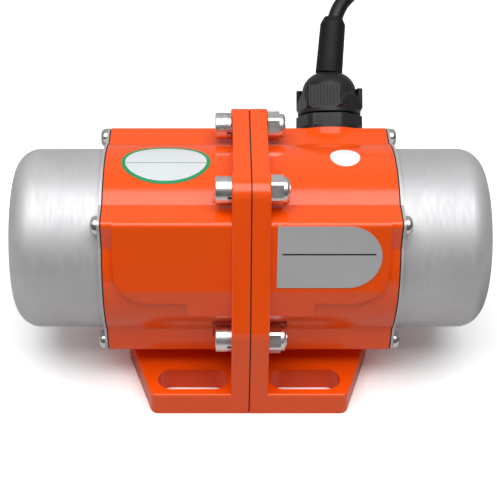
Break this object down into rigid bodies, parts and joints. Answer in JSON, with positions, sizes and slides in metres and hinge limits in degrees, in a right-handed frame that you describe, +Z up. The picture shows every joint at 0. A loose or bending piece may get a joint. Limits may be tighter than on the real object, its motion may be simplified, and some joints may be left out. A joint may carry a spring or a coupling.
{
  "type": "vibration motor",
  "caption": "Foot-mounted electric vibration motor: flanged split housing, round end caps over eccentric weights, cable gland and supply cord.",
  "frame": {"origin": "centre of the base, between the feet, on the surface that the motor is bolted to", "axes": "+X along the shaft towards the half with the cable gland, +Y towards the back, +Z up"},
  "size_m": [0.2671, 0.159, 0.1305],
  "materials": {
    "orange_paint": "gloss enamel",
    "cap_steel": "satin",
    "gasket": "matt",
    "screw_steel": "zinc plated",
    "bolt_steel": "plain stainless",
    "core_steel": "laminated",
    "copper_wire": "enamelled and varnished",
    "cage_aluminium": "as cast",
    "ground_steel": "ground",
    "spring_steel": "dark",
    "weight_iron": "machined and oiled",
    "black_steel": "black oxide",
    "bearing_steel": "ground",
    "ball_steel": "polished",
    "cage_brass": "pressed",
    "gland_plastic": "moulded black",
    "seal_rubber": "soft",
    "cord_jacket": "smooth black jacket",
    "tie_plastic": "black strap",
    "plug_plastic": "moulded black",
    "pin_brass": "nickelled",
    "wire_plastic": "coloured insulation"
  },
  "bodies": {
    "housing": {"bearing_shim": "spring_steel", "coil_tie": "tie_plastic", "cord_coil": "cord_jacket", "cord_inlet": "cord_jacket", "cord_sleeve": "cord_jacket", "cord_tail": "cord_jacket", "flange_bolts": "bolt_steel", "flange_nuts": "bolt_steel", "gland_body": "gland_plastic", "gland_nut": "gland_plastic", "gland_seal": "seal_rubber", "joint_gasket": "gasket", "lead_wires": "wire_plastic", "left_bearing_outer_ring": "bearing_steel", "left_cap_gasket": "gasket", "left_cap_screws": "screw_steel", "left_end_cap": "cap_steel", "left_housing": "orange_paint", "plug_body": "plug_plastic", "plug_pins": "pin_brass", "right_bearing_outer_ring": "bearing_steel", "right_cap_gasket": "gasket", "right_cap_screws": "screw_steel", "right_end_cap": "cap_steel", "right_housing": "orange_paint", "spring_washers": "bolt_steel", "stator_core": "core_steel", "stator_windings": "copper_wire", "supply_cord": "cord_jacket", "wave_washer": "spring_steel"},
    "rotor": {"shaft": "ground_steel", "rotor_core": "core_steel", "rotor_cage": "cage_aluminium", "spacer_sleeves": "ground_steel", "circlips": "spring_steel", "left_inner_weight": "weight_iron", "right_inner_weight": "weight_iron", "inner_weight_screws": "black_steel", "left_bearing_inner_ring": "bearing_steel", "right_bearing_inner_ring": "bearing_steel"},
    "left_cage": {"left_bearing_cage": "cage_brass", "left_bearing_balls": "ball_steel"},
    "right_cage": {"right_bearing_cage": "cage_brass", "right_bearing_balls": "ball_steel"},
    "left_weight": {"left_outer_weight": "weight_iron", "left_outer_weight_screw": "black_steel"},
    "right_weight": {"right_outer_weight": "weight_iron", "right_outer_weight_screw": "black_steel"}
  },
  "joints": [
    {"name": "rotor_spin", "type": "hinge", "parent": "housing", "child": "rotor", "pos_m": [0, 0, 0.0495], "axis": [1, 0, 0], "continuous": true},
    {"name": "left_cage_spin", "type": "hinge", "parent": "housing", "child": "left_cage", "pos_m": [0, 0, 0.0495], "axis": [1, 0, 0], "continuous": true},
    {"name": "right_cage_spin", "type": "hinge", "parent": "housing", "child": "right_cage", "pos_m": [0, 0, 0.0495], "axis": [1, 0, 0], "continuous": true},
    {"name": "left_weight_setting", "type": "hinge", "parent": "rotor", "child": "left_weight", "pos_m": [0, 0, 0.0495], "axis": [1, 0, 0], "range_deg": [0, 180]},
    {"name": "right_weight_setting", "type": "hinge", "parent": "rotor", "child": "right_weight", "pos_m": [0, 0, 0.0495], "axis": [1, 0, 0], "range_deg": [0, 180]}
  ],
  "couplings": [
    {"joint": "left_cage_spin", "follows": "rotor_spin", "ratio": 0.3682},
    {"joint": "right_cage_spin", "follows": "rotor_spin", "ratio": 0.3682}
  ]
}
